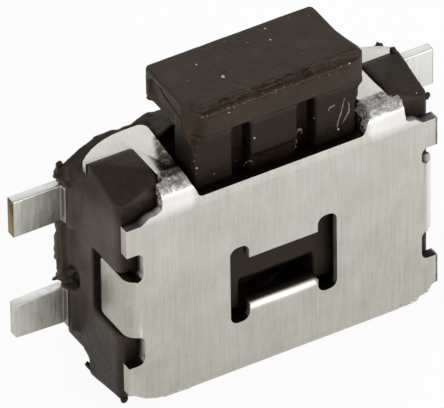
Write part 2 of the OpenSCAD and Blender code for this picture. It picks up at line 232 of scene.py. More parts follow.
# A painted highlight brightens the right side tab's fold, and the plate's right rim is darkened in the
# torn colour.
tab_painted_highlight = ramps(tree, axes, [("X", 2.16, 2.24), ("Z", 1.05, 1.12), ("Z", 2.46, 2.40)])
skin = add(tree, MIX, {"data_type": "RGBA", 7: linear("#f2f1ee")}, {0: tab_painted_highlight, 6: skin})
rim = ramps(tree, axes, [("X", 2.315, 2.335)])
rim = add(tree, MATH, {"operation": "SUBTRACT", "use_clamp": True}, {0: rim, 1: tab_painted_highlight})
skin = add(tree, MIX, {"data_type": "RGBA"}, {0: rim, 6: skin, 7: torn})
# A painted highlight brightens the folds, and the crinkle behind them is broken by grey, a painted
# reflection.
fold_painted_highlight = ramps(tree, axes, [("Z", 3.06, 3.30), ("Y", -0.68, -0.74)])
middle = ramps(tree, axes, [("X", -1.38, -1.24), ("X", 1.38, 1.24)])
fold_painted_highlight = add(tree, MATH, {"operation": "SUBTRACT", "use_clamp": True}, {0: fold_painted_highlight, 1: middle})
skin = add(tree, MIX, {"data_type": "RGBA", 7: linear("#f4f2ef")}, {0: fold_painted_highlight, 6: skin})
# Painted reflection: grey patches in the crinkle stand in for the dark things that it mirrors.
broken = add(tree, RANGE, {"From Min": 0.47, "From Max": 0.60, "To Max": 0.6},
             {"Value": crinkle})
grey = add(tree, MATH, {"operation": "MULTIPLY"}, {0: zone, 1: broken})
skin = add(tree, MIX, {"data_type": "RGBA", 7: linear("#645e56")}, {0: grey, 6: skin})
# A painted reflection of the dark push plate widens forwards along the left flange beside the plate.
slant = add(tree, MATH, {"operation": "MULTIPLY_ADD", 1: -0.457},
            {0: axes.outputs["Y"], 2: axes.outputs["X"]})
neck_painted_reflection = add(tree, RANGE, {"From Min": -1.47 * MM, "From Max": -1.40 * MM}, {"Value": slant})
ends = ramps(tree, axes, [("X", 0.0, -0.5), ABOVE_FOLD, ("Y", -0.62, -0.54),
                          ("Y", 0.30, 0.22)])
neck_painted_reflection = add(tree, MATH, {"operation": "MULTIPLY"}, {0: neck_painted_reflection, 1: ends})
patchy = add(tree, RANGE, {"From Min": 0.36, "From Max": 0.52, "To Min": 0.55, "To Max": 1.0},
             {"Value": crinkle})
neck_painted_reflection = add(tree, MATH, {"operation": "MULTIPLY"}, {0: neck_painted_reflection, 1: patchy})
skin = add(tree, MIX, {"data_type": "RGBA", 7: linear("#454037")}, {0: neck_painted_reflection, 6: skin})
# Flux has left warm stains on the left side tab.
stain = ramps(tree, axes, [("X", -2.20, -2.28), ("Z", 1.1, 1.2), ("Z", 2.4, 2.3)])
stain = add(tree, MATH, {"operation": "MULTIPLY"}, {0: stain, 1: patchy})
stain = add(tree, MATH, {"operation": "MULTIPLY", 1: 0.35}, {0: stain})
skin = add(tree, MIX, {"data_type": "RGBA", 7: linear("#857b62")}, {0: stain, 6: skin})
rough = add(tree, RANGE, {"From Min": 0.3, "From Max": 0.7, "To Min": 0.27, "To Max": 0.40},
            {"Value": grain})
rough = add(tree, MATH, {"operation": "MULTIPLY_ADD", 1: 0.15}, {0: cut, 2: rough})
rough = add(tree, MATH, {"operation": "MULTIPLY_ADD", 1: -0.12}, {0: above, 2: rough})
# The grain is almost flat, the clouds stand higher, and the crinkle is centred on the sheet.
low = add(tree, MATH, {"operation": "MULTIPLY", 1: 0.18}, {0: grain})
low = add(tree, MATH, {"operation": "MULTIPLY_ADD", 1: 0.06}, {0: mottle, 2: low})
wavy = add(tree, MATH, {"operation": "MULTIPLY_ADD", 1: 1.6}, {0: cloud, 2: low})
rippled = add(tree, MATH, {"operation": "MULTIPLY_ADD", 1: CRINKLE_HEIGHT,
                           2: -CRINKLE_HEIGHT / 2}, {0: crinkle})
rippled = add(tree, MATH, {"operation": "MULTIPLY"}, {0: rippled, 1: zone})
height = add(tree, MATH, {"operation": "ADD"}, {0: wavy, 1: rippled})
bump = add(tree, "ShaderNodeBump", {"Strength": 1.0, "Distance": 0.006 * MM}, {"Height": height})
wire(tree, shader, {"Base Color": skin, "Roughness": rough, "Normal": bump})


def plastic(name, dark, pale, grain_mm, depth_mm, rough, gloss, zones=()):
    """Moulded black plastic: a satin skin with a fine eroded grain and browner worn patches.

    Each zone is a colour, its share and the rows of its ramps, laid over the skin in turn.
    """
    material, tree, shader = new_material(name, IOR=1.5, Specular_IOR_Level=gloss,
                                          Specular_Tint=linear("#ffe6cf"))
    place = add(tree, "ShaderNodeTexCoord").outputs["Object"]
    patch = add(tree, NOISE, {"Scale": PER_M / 0.45, "Detail": 5.0, "Roughness": 0.65},
                {"Vector": place})
    fine = add(tree, NOISE, {"Scale": PER_M / grain_mm, "Detail": 4.0, "Roughness": 0.65},
               {"Vector": place})
    mixed = add(tree, MATH, {"operation": "MULTIPLY_ADD", 1: 0.6}, {0: patch, 2: fine})
    mixed = add(tree, MATH, {"operation": "MULTIPLY", 1: 0.625}, {0: mixed})
    base = add(tree, RAMP, {"stops": [(0.38, dark), (0.66, pale)]}, {"Fac": mixed})
    axes = add(tree, "ShaderNodeSeparateXYZ", {}, {"Vector": place})
    for code, share, rows in zones:
        where = ramps(tree, axes, rows)
        uneven = add(tree, RANGE, {"From Min": 0.35, "From Max": 0.65, "To Min": 0.65 * share,
                                   "To Max": min(1.35 * share, 1.0)}, {"Value": patch})
        where = add(tree, MATH, {"operation": "MULTIPLY"}, {0: where, 1: uneven})
        base = add(tree, MIX, {"data_type": "RGBA", 7: linear(code)}, {0: where, 6: base})
    matt = add(tree, RANGE, {"From Min": 0.3, "From Max": 0.7, "To Min": rough - 0.07,
                             "To Max": rough + 0.10}, {"Value": fine})
    relief = add(tree, MATH, {"operation": "MULTIPLY_ADD", 1: 2.0}, {0: patch, 2: fine})
    bump = add(tree, "ShaderNodeBump", {"Strength": 1.0, "Distance": depth_mm * MM},
               {"Height": relief})
    wire(tree, shader, {"Base Color": base, "Roughness": matt, "Normal": bump})
    return material


# Painted light makes the housing's outer side pale half way up and painted shade darkens its foot, and
# painted light makes the face seen through the window a little pale in its recess.
HOUSING_PAINTED_LIGHT_AND_SHADE = [("#5b5249", 0.42, [OUTER_SIDE, ("Z", 0.9, 1.5), ("Z", 3.3, 2.9)]),
                 ("#5b5249", 0.9, [("X", -0.8, -0.7), ("X", 0.8, 0.7), ("Y", -0.69, -0.66),
                                   ("Y", 0.0, -0.1), ("Z", 2.1, 1.9), ("Z", 0.9, 1.0)]),
                 ("#100c09", 0.8, [OUTER_SIDE, ("Z", 1.0, 0.6)])]
housing_black = plastic("heat-proof nylon, moulded and matt", "#1b1511", "#2c231d",
                        grain_mm=0.07, depth_mm=0.008, rough=0.46, gloss=0.32,
                        zones=HOUSING_PAINTED_LIGHT_AND_SHADE)
# The push plate is paler on the head, and painted shade darkens its slots and the neck under the head.
BUTTON_TONE_AND_PAINTED_SHADE = [("#473b30", 0.36, [("Z", 3.9, 4.0)]),
                ("#17120e", 0.7, [("Y", -0.58, -0.48), ("Z", 3.97, 3.92)])]
button_black = plastic("acetal, moulded and satin", "#150f0a", "#241b13",
                       grain_mm=0.06, depth_mm=0.006, rough=0.42, gloss=0.25,
                       zones=BUTTON_TONE_AND_PAINTED_SHADE)
# Crumbs and threads are torn from the same plastics: their broken faces scatter the light, so they
# look paler than the skin that they lie on. The pale crumbs also serve as painted highlights for the
# glints on the housing.
crumb = {"grain_mm": 0.03, "depth_mm": 0.004, "rough": 0.5}
crumb_pale_and_glint = plastic("plastic dust, torn and pale", "#8a8278", "#d8d3cb", gloss=0.5, **crumb)
crumb_dim = plastic("plastic dust, torn and dusky", "#3d342b", "#6f655a", gloss=0.4, **crumb)
crumb_grey = plastic("plastic thread, torn and grey", "#564d43", "#9f968a", gloss=0.4, **crumb)

# Brass strip plated with silver before it was cut: the plating is drawn into upright streaks and is
# darker towards the moulding, painted highlights make its upward faces and the right-hand strips
# paler, and the cut ends are bare brass.
plated, tree, shader = new_material("brass strip, silver plated and cut", Metallic=1.0)
place = add(tree, "ShaderNodeTexCoord").outputs["Object"]
axes = add(tree, "ShaderNodeSeparateXYZ", {}, {"Vector": place})
stretched = add(tree, "ShaderNodeMapping", {"Scale": (1.0, 1.0, 0.12)}, {"Vector": place})
streak = add(tree, NOISE, {"Scale": PER_M / 0.06, "Detail": 4.0, "Roughness": 0.6},
             {"Vector": stretched})
cloud = add(tree, NOISE, {"Scale": PER_M / 0.3, "Detail": 4.0, "Roughness": 0.6},
            {"Vector": place})
reach = add(tree, MATH, {"operation": "ABSOLUTE"}, {0: axes.outputs["X"]})
bright = add(tree, RANGE, {"From Min": 2.45 * MM, "From Max": 3.15 * MM, "To Min": 0.05,
                           "To Max": 0.62}, {"Value": reach})
# Painted highlight: the right-hand strips are made paler.
right = add(tree, RANGE, {"From Min": 0.0, "From Max": 1.0 * MM, "To Min": 0.0, "To Max": 0.5},
            {"Value": axes.outputs["X"]})
bright = add(tree, MATH, {"operation": "ADD"}, {0: bright, 1: right})
facing = add(tree, "ShaderNodeSeparateXYZ", {},
             {"Vector": add(tree, "ShaderNodeTexCoord").outputs["Normal"]})
# Painted highlight: faces that look up are made paler.
upward = add(tree, RANGE, {"From Min": 0.3, "From Max": 0.8, "To Max": 0.7},
             {"Value": facing.outputs["Z"]})
bright = add(tree, MATH, {"operation": "ADD"}, {0: bright, 1: upward})
shade = add(tree, MATH, {"operation": "MULTIPLY_ADD", 1: 0.7, 2: -0.35}, {0: streak})
shade = add(tree, MATH, {"operation": "ADD"}, {0: shade, 1: bright})
skin = add(tree, RAMP, {"stops": [(0.0, "#84827a"), (0.45, "#b3b1a7"), (1.0, "#e9eae6")]},
           {"Fac": shade})
bare = add(tree, RAMP, {"stops": [(0.35, "#5d4a26"), (0.65, "#9c8450")]}, {"Fac": cloud})
tip = add(tree, RANGE, {"From Min": 3.183 * MM, "From Max": 3.193 * MM}, {"Value": reach})
tall = add(tree, RANGE, {"From Min": 2.0 * MM, "From Max": 2.1 * MM}, {"Value": axes.outputs["Z"]})
end = add(tree, MATH, {"operation": "MULTIPLY"}, {0: tip, 1: tall})
colour = add(tree, MIX, {"data_type": "RGBA"}, {0: end, 6: skin, 7: bare})
rough = add(tree, RANGE, {"From Min": 0.3, "From Max": 0.7, "To Min": 0.30, "To Max": 0.46},
            {"Value": cloud})
relief = add(tree, MATH, {"operation": "MULTIPLY_ADD", 1: 3.0}, {0: cloud, 2: streak})
bump = add(tree, "ShaderNodeBump", {"Strength": 1.0, "Distance": 0.003 * MM}, {"Height": relief})
wire(tree, shader, {"Base Color": colour, "Roughness": rough, "Normal": bump})

# Spring steel snap dome, cold-formed and bright: soft clouds in it blur what it mirrors.
spring, tree, shader = new_material("spring steel, cold formed and bright", Metallic=1.0)
place = add(tree, "ShaderNodeTexCoord").outputs["Object"]
cloud = add(tree, NOISE, {"Scale": PER_M / 0.2, "Detail": 3.0}, {"Vector": place})
base = add(tree, RAMP, {"stops": [(0.3, "#b9b7b2"), (0.7, "#d4d2cd")]}, {"Fac": cloud})
rough = add(tree, RANGE, {"From Min": 0.3, "From Max": 0.7, "To Min": 0.18, "To Max": 0.3},
            {"Value": cloud})
wire(tree, shader, {"Base Color": base, "Roughness": rough})

# Amber polyimide film: clear, glossy and slightly wavy, so that the dome shows through it.
amber, tree, shader = new_material("polyimide film, cast and clear", IOR=1.6, Roughness=0.2,
                                   Transmission_Weight=0.6)
place = add(tree, "ShaderNodeTexCoord").outputs["Object"]
cloud = add(tree, NOISE, {"Scale": PER_M / 0.3, "Detail": 3.0}, {"Vector": place})
base = add(tree, RAMP, {"stops": [(0.3, "#8c5a1c"), (0.7, "#b07a2e")]}, {"Fac": cloud})
bump = add(tree, "ShaderNodeBump", {"Strength": 1.0, "Distance": 0.004 * MM}, {"Height": cloud})
wire(tree, shader, {"Base Color": base, "Normal": bump})

# Flash of the same nylon, squeezed out as thin as foil: it lets brown light through.
flash, tree, shader = new_material("nylon flash, squeezed thin", IOR=1.5, Roughness=0.4,
                                   Transmission_Weight=0.35)
place = add(tree, "ShaderNodeTexCoord").outputs["Object"]
cloud = add(tree, NOISE, {"Scale": PER_M / 0.12, "Detail": 4.0}, {"Vector": place})
base = add(tree, RAMP, {"stops": [(0.35, "#453d30"), (0.65, "#837861")]}, {"Fac": cloud})
bump = add(tree, "ShaderNodeBump", {"Strength": 1.0, "Distance": 0.01 * MM}, {"Height": cloud})
wire(tree, shader, {"Base Color": base, "Normal": bump})

# ---- meshes ----


def at(x, depth, height):
    """A place in the drawing's terms: from the middle, the cover's front and its lower flange."""
    return np.stack(np.broadcast_arrays(x, np.asarray(depth) - HALF_DEPTH,
                                        np.asarray(height) + UNDERSIDE), axis=-1).astype(float)


def step(value, low, high):
    """Goes smoothly from 0 at low to 1 at high, as 3t^2 - 2t^3."""
    part = np.clip((value - low) / (high - low), 0, 1)
    return part * part * (3 - 2 * part)


NOISE_CELLS = 64
NOISE_SHIFT = 1000.0


def noise(points, size, seed):
    """Smooth value noise of the given feature size, -1 to 1, at each point."""
    table = np.random.RandomState(seed).uniform(-1, 1, (NOISE_CELLS,) * 3)
    scaled = points / size + NOISE_SHIFT
    cell = np.floor(scaled).astype(int)
    part = scaled - cell
    part = part * part * (3 - 2 * part)
    total = np.zeros(len(points))
    for corner in range(8):
        move = np.array([corner & 1, corner >> 1 & 1, corner >> 2 & 1])
        index = (cell + move) % NOISE_CELLS
        weight = np.prod(np.where(move, part, 1 - part), axis=1)
        total += weight * table[index[:, 0], index[:, 1], index[:, 2]]
    return total


JOIN_WITHIN = 0.0004
FLAT_WITHIN = math.radians(0.6)
SHARP_ABOVE = 0.5


def merged(node):
    """A CAD node in millimetres with its loose triangles joined and its flat faces made whole."""
    mesh = bmesh.new()
    mesh.from_mesh(nodes[node].data)
    bmesh.ops.scale(mesh, vec=(PER_M, PER_M, PER_M), verts=mesh.verts)
    bmesh.ops.remove_doubles(mesh, verts=mesh.verts, dist=JOIN_WITHIN)
    bmesh.ops.dissolve_limit(mesh, angle_limit=FLAT_WITHIN, verts=mesh.verts,
                             edges=mesh.edges)
    return mesh


def vectors(mesh, part, field):
    """One vector field of a mesh's vertices or faces as rows."""
    flat = np.empty(len(getattr(mesh, part)) * 3)
    getattr(mesh, part).foreach_get(field, flat)
    return flat.reshape(-1, 3)


def keep(name, mesh, material, body):
    """Makes a mesh in millimetres a finished piece in metres that rides on its body."""
    mesh.transform(Matrix.Scale(MM, 4))
    mesh.materials.clear()
    mesh.materials.append(material)
    mesh.polygons.foreach_set("use_smooth", np.full(len(mesh.polygons), True))
    mesh.update()
    piece = bpy.data.objects.new(name, mesh)
    scene.collection.objects.link(piece)
    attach(piece, body)
    return piece


def drawn(points):
    """The x, depth and height of each point in the drawing's terms, undoing at."""
    return points.T - np.array([[0], [-HALF_DEPTH], [UNDERSIDE]])


# How far, in mm, forms differ from the symmetric drawing.
BLOCK_OUT = 0.08
PLATE_LEAN = 0.03
NOTCH_LEFT = 0.09
NOTCH_RIGHT = 0.12
TAB_LIFT = 0.2
STRIP_SHORT = 0.11
FOOT_RISE = 0.05
FOOT_SLOPE = 0.11
RIM_DIP = 0.09
RIM_NIBBLE = 0.02
EDGE_WANDER = 0.09
EDGE_RISE = 0.04
END_SUNK = 0.055
HEAD_BACK = 0.13
NECK_BACK = 0.06
NECK_OUT = 0.05
HEAD_OUT = 0.07


def nudged(points):
    """The right corner block and the sheet round it sit a little further out than the left."""
    x, depth, height = drawn(points)
    push = step(x, 1.45, 1.66) * (1 - step(x, 1.80, 2.25))
    push = push * step(height, 3.0, 3.28) * (1 - step(depth, 1.05, 1.2))
    moved = points.copy()
    moved[:, 0] += BLOCK_OUT * push
    return moved


def sheet_right(points):
    """The upper folds are eased into the plate, and the right side tab starts higher.

    The inner ends of the folds slant, as the notch was pulled open when they were bent.
    The plate leans back by PLATE_LEAN times the square of its way from 3.02 up to 3.32 mm.
    """
    moved = nudged(points)
    x, depth, height = drawn(points)
    lean = np.clip((height - 3.02) / 0.3, 0, 1) ** 2 * (height < 3.46)
    moved[:, 1] += PLATE_LEAN * lean * (1 - step(depth, 0.10, 0.2))
    front = (1 - step(depth, 0.3, 0.8)) * step(height, 3.1, 3.2)
    left = step(-x, 1.2, 1.25) * (1 - step(-x, 1.34, 1.7)) * front
    moved[:, 0] -= left * NOTCH_LEFT * step(height, 3.25, 3.5)
    right = step(x, 1.2, 1.25) * (1 - step(x, 1.34, 1.7)) * front
    moved[:, 0] += right * NOTCH_RIGHT * step(height, 3.25, 3.5)
    near = step(x, 2.05, 2.12) * (1 - step(depth, 0.5, 0.7))
    moved[:, 2] += TAB_LIFT * near * step(height, 1.9, 2.1) * (1 - step(height, 2.2, 2.55))
    return moved


def eased(name, node, width, material, body="body", reshape=None, rows=()):
    """Stands for a CAD node: the same shape with its edges rounded by a small bevel.

    It is cut through at the heights in rows first, so that reshape can bend it there.
    """
    shape = merged(node)
    for row in rows:
        bmesh.ops.bisect_plane(shape, geom=shape.verts[:] + shape.edges[:] + shape.faces[:],
                               plane_co=(0, 0, row + UNDERSIDE), plane_no=(0, 0, 1), dist=0.0001)
    edges = [e for e in shape.edges if len(e.link_faces) == 2 and e.calc_face_angle(0) > SHARP_ABOVE]
    bmesh.ops.bevel(shape, geom=edges, offset=width, offset_type="OFFSET", segments=2,
                    profile=0.6, affect="EDGES", clamp_overlap=True)
    mesh = bpy.data.meshes.new(name)
    shape.to_mesh(mesh)
    shape.free()
    if reshape:
        mesh.vertices.foreach_set("co", reshape(vectors(mesh, "vertices", "co")).ravel())
        mesh.update()
    piece = keep(name, mesh, material, body)
    tidy = piece.modifiers.new("even shading", "WEIGHTED_NORMAL")
    tidy.weight = 60
    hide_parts(node)
    return piece


# A moulded skin's noises: the share of each, its size in mm and its seed.
SKIN_NOISES = [(0.5, 0.35, 3), (0.3, 0.14, 5), (0.2, 0.07, 7)]


def moulded(name, node, voxel, relief, material, body, reshape):
    """Stands for a CAD node: the same solid remeshed, its edges softened and its skin uneven.

    Each point moves along its normal by relief times a sum of value noises.
    """
    mesh = bpy.data.meshes.new(name + "_core")
    shape = merged(node)
    shape.to_mesh(mesh)
    shape.free()
    core = bpy.data.objects.new(name + "_core", mesh)
    scene.collection.objects.link(core)
    remesh = core.modifiers.new("remesh", "REMESH")
    remesh.mode = "VOXEL"
    remesh.voxel_size = voxel
    soften = core.modifiers.new("soften", "SMOOTH")
    soften.iterations = 2
    soften.factor = 0.5
    graph = bpy.context.evaluated_depsgraph_get()
    final = bpy.data.meshes.new_from_object(core.evaluated_get(graph))
    final.name = name
    bpy.data.objects.remove(core)
    points = vectors(final, "vertices", "co")
    normals = vectors(final, "vertices", "normal")
    lift = sum(share * noise(points, size, seed) for share, size, seed in SKIN_NOISES)
    points += normals * (relief * lift)[:, None]
    points = reshape(points)
    final.vertices.foreach_set("co", points.ravel())
    piece = keep(name, final, material, body)
    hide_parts(node)
    return piece


def strand(path, side, wide, thick, around, ragged, seed, size=0.045):
    """A closed skin carried along a path.

    Ring i is path[i] + cos(a) wide[i] side + sin(a) thick[i] rise, where rise is square to
    the path and to side; every ring point moves out or in by ragged times a value noise, and
    the first and last rings shrink to a pole.
    """
    path = np.asarray(path, float)
    side = np.asarray(side, float) / np.linalg.norm(side)
    count = len(path)
    ahead = np.gradient(path, axis=0)
    rise = np.cross(ahead, side)
    rise /= np.linalg.norm(rise, axis=1)[:, None]
    turn = np.linspace(0, 2 * np.pi, around, endpoint=False)
    wide = np.broadcast_to(wide, count)
    thick = np.broadcast_to(thick, count)
    ring = (np.cos(turn)[None, :, None] * wide[:, None, None] * side[None, None, :]
            + np.sin(turn)[None, :, None] * thick[:, None, None] * rise[:, None, :])
    points = path[:, None, :] + ring
    points += ring * ragged * noise(points.reshape(-1, 3), size, seed).reshape(count, around, 1)
    body = points[1:-1].reshape(-1, 3)
    first, last = len(body), len(body) + 1
    row = np.arange(count - 3)[:, None] * around
    here = np.arange(around)[None, :]
    after = (here + 1) % around
    quads = np.stack([row + here, row + after, row + around + after, row + around + here], -1)
    start = (count - 3) * around
    pairs = list(zip(here[0].tolist(), after[0].tolist()))
    faces = quads.reshape(-1, 4).tolist()
    faces += [(first, b, a) for a, b in pairs]
    faces += [(last, start + a, start + b) for a, b in pairs]
    return np.vstack([body, path[:1], path[-1:]]), faces


AROUND = 8
LUMP_RINGS = 9


def lump(centre, size, seed, ragged=0.35):
    """A crumb: a strand whose straight path is as long as it is wide, with a round outline."""
    along = np.linspace(-1, 1, LUMP_RINGS)
    outline = np.sqrt(np.clip(1 - along ** 2, 0, 1))
    size = np.broadcast_to(size, 3)
    path = np.asarray(centre) + along[:, None] * np.array([size[0], 0, 0])
    return strand(path, (0, 1, 0), outline * size[1], outline * size[2], AROUND, ragged, seed)


def skin_of(piece):
    """A finished piece's faces, ready for points to be laid on them."""
    mesh = piece.data
    return BVHTree.FromPolygons([v.co for v in mesh.vertices], [p.vertices for p in mesh.polygons])


SEARCH = 1.6
MEET_SHARE = 0.8
MEET_TRIES = 65


def laid(points, skin):
    """The points slid along the slant of the view until each lies on the skin."""
    moved = np.array(points, float)
    for i, point in enumerate(moved):
        place = (Vector(point) + SLANT) * MM
        hit = skin.ray_cast(place, -SLANT, SEARCH * MM)[0]
        if hit:
            moved[i] = hit / MM
    return moved


def met(point, skin):
    """The place on the slant of the view through a point that comes nearest to the skin."""
    shares = np.linspace(-MEET_SHARE, MEET_SHARE, MEET_TRIES)
    tries = [Vector(point) + SLANT * part for part in shares]
    return np.array(min(tries, key=lambda place: skin.find_nearest(place * MM)[3]))


def softened(path):
    """Moves each inner point of the path to (before + 2 itself + after) / 4."""
    path[1:-1] = (path[:-2] + 2 * path[1:-1] + path[2:]) / 4


def thread(corners, radius, side, seed, count, ragged, skin=None):
    """A bent hair: a strand eased through its corners, laid on a skin if there is one.

    Its radius at the part t of its way is radius times sin(pi t) ^ 0.35.
    """
    corners = np.asarray(corners, float)
    where = np.linspace(0, len(corners) - 1, count)
    path = np.stack([np.interp(where, np.arange(len(corners)), column) for column in corners.T], -1)
    for _ in range(3):
        softened(path)
    if skin:
        path = laid(path, skin)
        softened(path)
    taper = np.sin(np.linspace(0, np.pi, count)) ** 0.35
    return strand(path, side, radius * taper, radius * taper, AROUND, ragged, seed)


def joined(name, shells, material, body):
    """Puts several closed skins into one piece."""
    points, faces, start = [], [], 0
    for part, sides in shells:
        points.append(part)
        faces += [tuple(i + start for i in face) for face in sides]
        start += len(part)
    mesh = bpy.data.meshes.new(name)
    mesh.from_pydata(np.vstack(points).tolist(), [], faces)
    shape = bmesh.new()
    shape.from_mesh(mesh)
    bmesh.ops.recalc_face_normals(shape, faces=shape.faces)
    shape.to_mesh(mesh)
    shape.free()
    return keep(name, mesh, material, body)


# The cover: cut faces of the front plate are marked, so that they can be half torn.

PLATE_FRONT = 0.005
PLATE_BACK = 0.19
SQUARE_WITHIN = 0.4
FOLD_START = 3.23
FOLD_END = 0.16
TAB_SIDE = 2.05
TAB_LOW = 1.03
TAB_HIGH = 2.16


def mark_cut(piece):
    """Marks the faces that stand square to the front plate and are not part of a fold."""
    mesh = piece.data
    normal = vectors(mesh, "polygons", "normal")
    x, depth, height = drawn(vectors(mesh, "polygons", "center") / MM)
    flat = (np.abs(normal[:, 1]) < SQUARE_WITHIN) & (depth > PLATE_FRONT) & (depth < PLATE_BACK)
    tab = (np.abs(x) > TAB_SIDE) & (height > TAB_LOW) & (height < TAB_HIGH)
    mark = flat & (height < FOLD_START) & (height > FOLD_END) & ~tab
    cut = mesh.attributes.new("cut", "FLOAT", "FACE")
    cut.data.foreach_set("value", mark.astype(float))


LEAN_ROWS = (3.06, 3.12, 3.17, 3.21, 3.25, 3.28)
cover_sheet = eased("cover_sheet", "cover", width=0.018, material=steel,
                    reshape=sheet_right, rows=LEAN_ROWS)
mark_cut(cover_sheet)


def round_tip(points):
    """The left tip of the lower strip is worn narrower, and its right end is cut shorter."""
    moved = points.copy()
    moved[:, 0] -= STRIP_SHORT * step(points[:, 0], 2.9, 3.2)
    middle = 0.98 + UNDERSIDE
    near = step(-points[:, 0], 3.06, 3.2)
    moved[:, 2] = middle + (points[:, 2] - middle) * (1 - 0.10 * near ** 2)
    return moved


eased("lower_strip", "centre_contact", width=0.025, material=plated,
      reshape=round_tip)
eased("upper_strip", "outer_contact", width=0.02, material=plated)


def worn_housing(points):
    """The right block stands out, and the thin rims at the rear are nibbled.

    The feet of the blocks rise towards the front, and the right rear rim dips.
    """
    moved = nudged(points)
    x, depth, height = drawn(moved)
    foot = step(np.abs(x), 1.5, 1.65) * (1 - step(height, -0.05, 0.35))
    moved[:, 2] += foot * (FOOT_RISE + FOOT_SLOPE * (1 - step(depth, 0.2, 1.1)))
    moved[:, 2] -= RIM_DIP * step(x, 1.2, 1.4) * step(depth, 1.1, 1.25) * step(height, 3.1, 3.3)
    rim = step(depth, 1.25, 1.45) * step(height, 2.9, 3.2)
    moved[:, 2] += RIM_NIBBLE * rim * noise(points, 0.11, 21)
    return moved


housing = moulded("housing_moulding", "housing", voxel=0.034, relief=0.006,
                  material=housing_black, body="body",
                  reshape=worn_housing)
housing_skin = skin_of(housing)


def torn_edge(points):
    """The step along the front of the head is torn: its edge wanders by a few hundredths.

    The left upright edge stands back, the right one bulges, and the head's ends are sunk.
    """
    moved = points.copy()
    x, depth, height = drawn(points)
    near = np.exp(-((depth - 0.2) / 0.07) ** 2 - ((height - 4.42) / 0.07) ** 2)
    moved[:, 1] += EDGE_WANDER * near * noise(points, 0.12, 31)
    moved[:, 2] += EDGE_RISE * near * noise(points, 0.07, 33)
    sunk = step(np.abs(x), 1.17, 1.2) * (1 - step(np.abs(x), 1.24, 1.262))
    sunk = sunk * (1 - step(height, 3.98, 4.08)) * step(depth, 0.62, 0.66)
    sunk = sunk * (1 - step(depth, 1.30, 1.34)) * step(height, 3.94, 3.96)
    moved[:, 0] += np.sign(x) * END_SUNK * sunk
    wide = step(height, 3.84, 3.94)
    back = HEAD_BACK * wide * step(-x, 1.06, 1.15)
    back = back + NECK_BACK * (1 - wide) * step(-x, 1.17, 1.25)
    moved[:, 1] += back * (1 - step(depth, 0.22, 0.55))
    out = step(x, 1.08, 1.2) * (1 - step(depth, 0.35, 0.8)) * step(height, 3.6, 3.75)
    moved[:, 0] += out * (NECK_OUT + HEAD_OUT * wide * (1 - step(height, 4.35, 4.45)))
    return moved


plate = moulded("push_plate_moulding", "push_plate", voxel=0.026, relief=0.005,
                material=button_black, body="button",
                reshape=torn_edge)
plate_skin = skin_of(plate)

for name, material in (("snap_dome", spring), ("dome_film", amber)):
    nodes[name].data.materials.clear()
    nodes[name].data.materials.append(material)

# Dust on the push plate, each crumb where it lies on a face: x, depth, height, radius.

# TOP and STRIP are the heights of the head's top face and of the strip along its front, and
# NECK is how far the neck's front lies behind the cover's.

TOP = 4.455
STRIP = 4.355
NECK = 0.202
pale_specks = [(-0.51, 0.642, TOP, 0.028), (0.482, 1.244, TOP, 0.017), (0.418, 1.006, TOP, 0.015),
               (-0.674, 1.042, TOP, 0.014), (1.104, 0.15, STRIP, 0.018),
               (-0.761, 0.06, STRIP, 0.014), (-0.306, NECK, 3.662, 0.016),
               (-1.165, 0.22, 3.50, 0.015), (0.373, NECK, 3.525, 0.02), (0.312, NECK, 3.27, 0.016),
               (0.958, NECK, 3.30, 0.016)]
dim_specks = [(0.859, 1.293, TOP, 0.020), (1.104, 1.195, TOP, 0.018), (0.13, 1.105, TOP, 0.018),
              (-0.373, 0.684, TOP, 0.018), (0.214, 0.428, TOP, 0.018), (-0.115, 1.279, TOP, 0.018),
              (-0.95, 0.80, TOP, 0.022), (0.62, 0.52, TOP, 0.016), (-1.104, 0.16, STRIP, 0.026),
              (-1.038, 0.15, STRIP, 0.020), (-0.719, 0.15, STRIP, 0.024), (-0.324, 0.14, STRIP, 0.020),
              (-0.038, 0.104, STRIP, 0.020), (0.072, 0.087, STRIP, 0.018), (0.975, 0.15, STRIP, 0.022),
              (-0.913, NECK, 3.315, 0.014), (0.598, NECK, 3.628, 0.014), (-0.586, NECK, 3.40, 0.014),
              (-1.18, 0.23, 3.72, 0.012), (-1.19, 0.23, 3.62, 0.014), (-1.17, 0.23, 3.40, 0.010)]


def specks(rows, seed, skin):
    """One lump for each row, laid on the skin and flattened if it lies on a level face."""
    places = laid([at(x, depth, height) for x, depth, height, size in rows], skin)
    return [lump(place, (row[3], row[3] * 0.9, row[3] * (0.6 if row[2] > 4 else 0.9)), seed + i)
            for i, (place, row) in enumerate(zip(places, rows))]


joined("button_dust_pale", specks(pale_specks, 40, plate_skin), crumb_pale_and_glint, "button")
joined("button_dust_dim", specks(dim_specks, 60, plate_skin), crumb_dim, "button")

# Torn threads on the neck, each by the x and height of its corners.

threads = [[(-0.479, 3.25), (-0.448, 3.30), (-0.403, 3.33), (-0.328, 3.28)],
           [(0.325, 3.474), (0.34, 3.534), (0.386, 3.532), (0.415, 3.487), (0.40, 3.45)],
           [(0.325, 3.40), (0.317, 3.333), (0.312, 3.26)],
           [(1.069, 3.785), (1.038, 3.699), (1.022, 3.623), (0.991, 3.52), (0.96, 3.434),
            (0.944, 3.341), (0.958, 3.27)],
           [(1.114, 3.701), (1.128, 3.597), (1.112, 3.505), (1.066, 3.441), (1.02, 3.36)],
           [(0.81, 3.658), (0.826, 3.701), (0.871, 3.716), (0.917, 3.714)]]
radii = [0.010, 0.014, 0.014, 0.010, 0.010, 0.010]
shells = [thread([at(x, NECK, height) for x, height in line], radius, side=(0, 1, 0),
                 seed=90 + i, count=28, ragged=0.8, skin=plate_skin)
          for i, (line, radius) in enumerate(zip(threads, radii))]
joined("button_threads", shells, crumb_grey, "button")

# Torn parting line along the step of the head, and the ridges of the same plastic.

